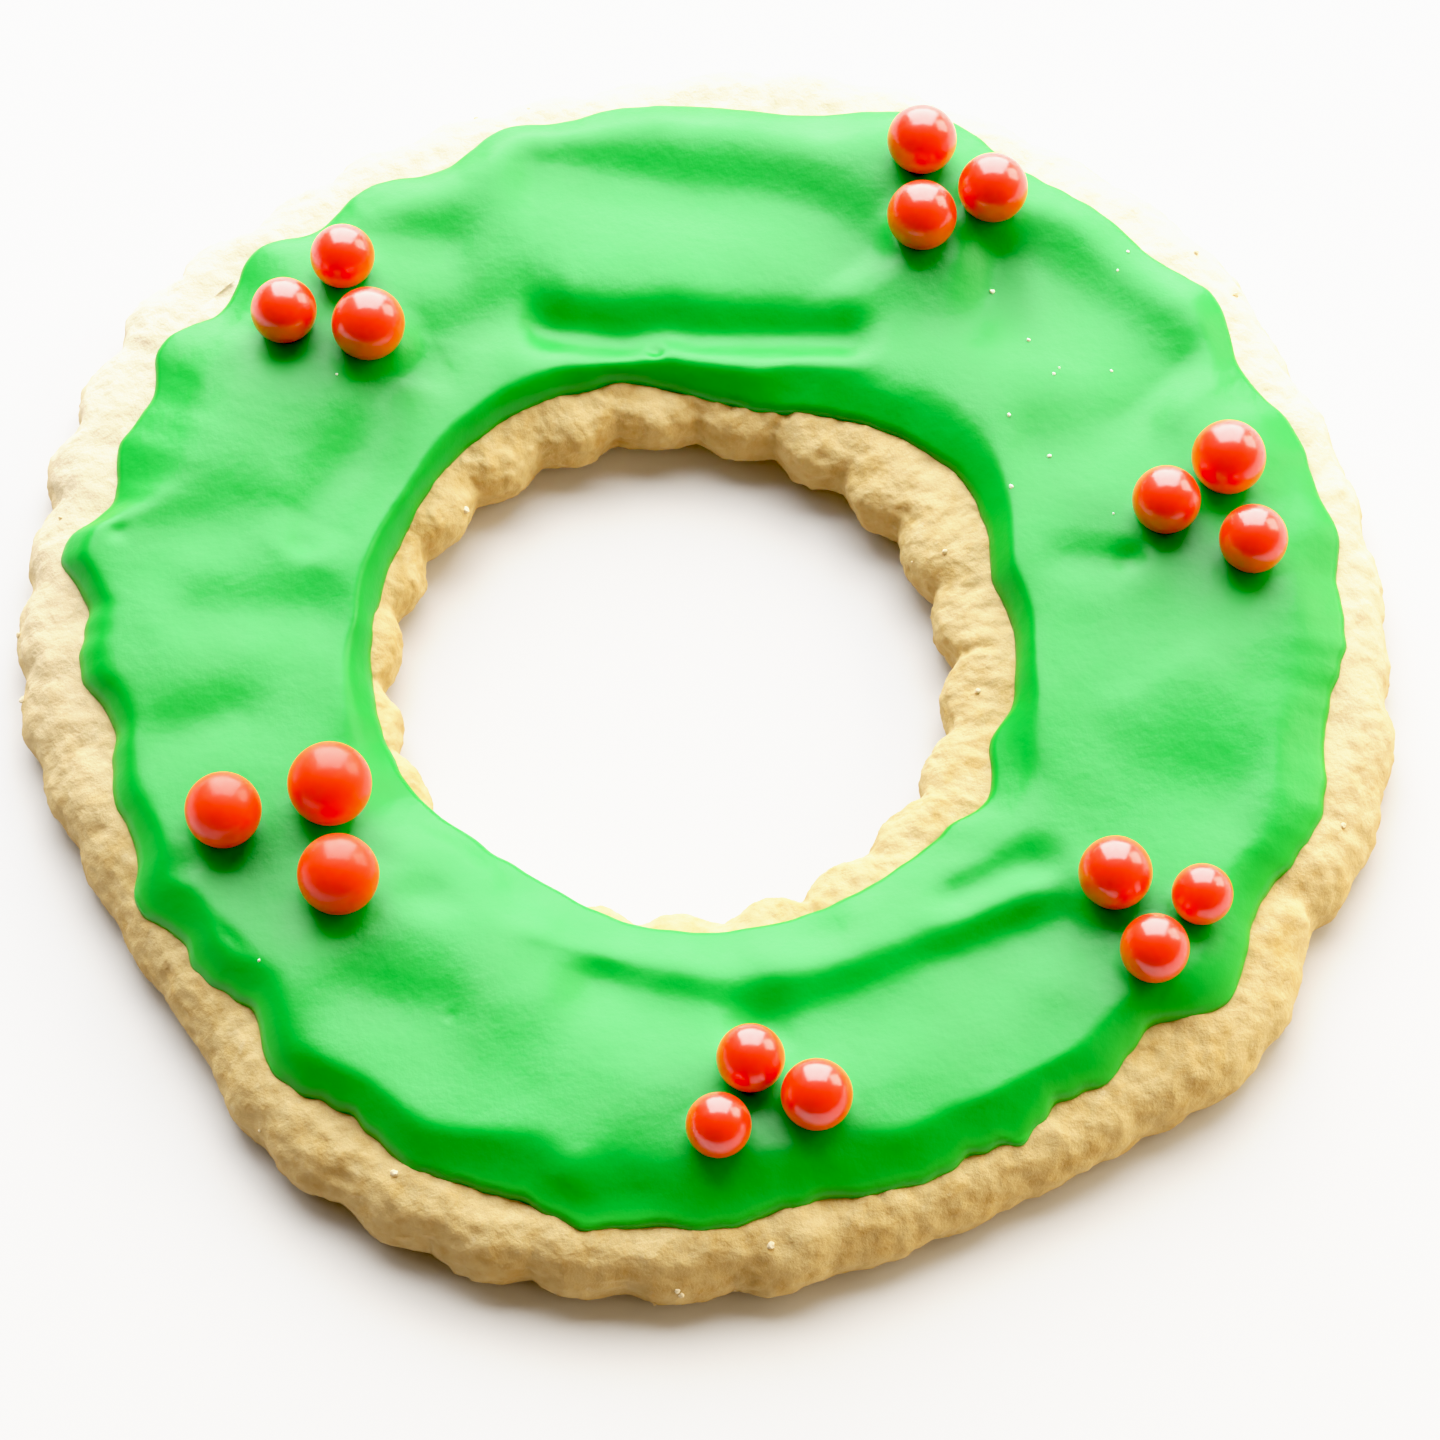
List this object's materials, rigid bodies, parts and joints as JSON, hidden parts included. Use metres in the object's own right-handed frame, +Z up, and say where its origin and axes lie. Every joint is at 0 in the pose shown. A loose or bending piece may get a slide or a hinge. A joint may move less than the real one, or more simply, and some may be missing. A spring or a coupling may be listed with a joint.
{
  "type": "iced sugar cookie",
  "caption": "Fluted ring-shaped sugar biscuit with a round hole, spread with wavy green icing and dotted with clusters of red sugar pearls.",
  "frame": {"origin": "middle of the cookie's outline on the surface it lies on", "axes": "+Z up out of the icing; +X to the right and +Y away from the viewer, with the single large icing point at the left"},
  "size_m": [0.086, 0.0874, 0.0115],
  "materials": {
    "biscuit": "pale baked dough, fine crumb, golden at the edges",
    "icing": "smooth green sugar icing, soft satin sheen",
    "pearl": "glossy red pearlescent sugar coating"
  },
  "bodies": {
    "root": {"cookie": "biscuit", "icing": "icing", "pearl_back_left_1": "pearl", "pearl_back_left_2": "pearl", "pearl_back_left_3": "pearl", "pearl_back_right_1": "pearl", "pearl_back_right_2": "pearl", "pearl_back_right_3": "pearl", "pearl_right_1": "pearl", "pearl_right_2": "pearl", "pearl_right_3": "pearl", "pearl_front_right_1": "pearl", "pearl_front_right_2": "pearl", "pearl_front_right_3": "pearl", "pearl_front_1": "pearl", "pearl_front_2": "pearl", "pearl_front_3": "pearl", "pearl_left_1": "pearl", "pearl_left_2": "pearl", "pearl_left_3": "pearl"}
  },
  "joints": []
}
